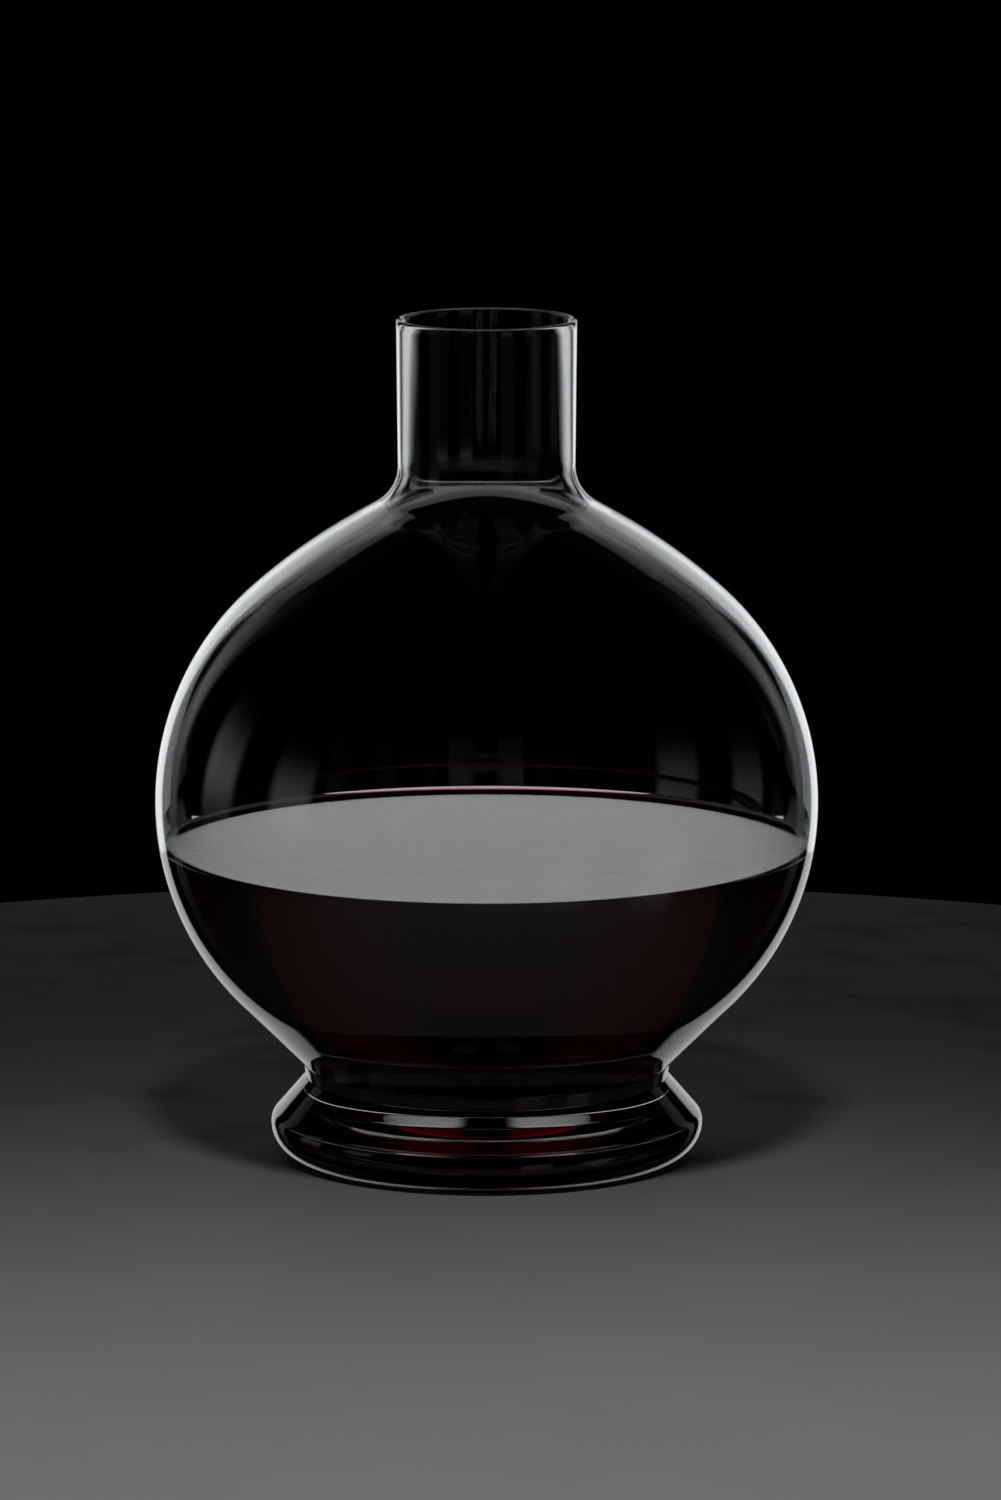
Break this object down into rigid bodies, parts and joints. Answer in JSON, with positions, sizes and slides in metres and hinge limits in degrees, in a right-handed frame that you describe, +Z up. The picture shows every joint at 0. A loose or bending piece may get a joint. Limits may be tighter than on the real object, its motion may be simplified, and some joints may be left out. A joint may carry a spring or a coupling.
{
  "type": "wine decanter",
  "caption": "Footed round wine decanter in clear crystal: blown bowl with a straight open neck, joining ring, heavy solid foot, and red wine inside.",
  "frame": {"origin": "centre of the foot's flat underside, on the surface that the decanter stands on", "axes": "+Z up along the decanter's axis, from the foot to the mouth; X and Y are any two level directions, because the decanter is round"},
  "size_m": [0.1684, 0.1684, 0.214],
  "materials": {
    "blown_crystal": "polished",
    "ring_crystal": "polished",
    "foot_crystal": "polished",
    "red_wine": "polished"
  },
  "bodies": {
    "root": {"bowl": "blown_crystal", "joining_ring": "ring_crystal", "foot": "foot_crystal", "wine": "red_wine"}
  },
  "joints": []
}
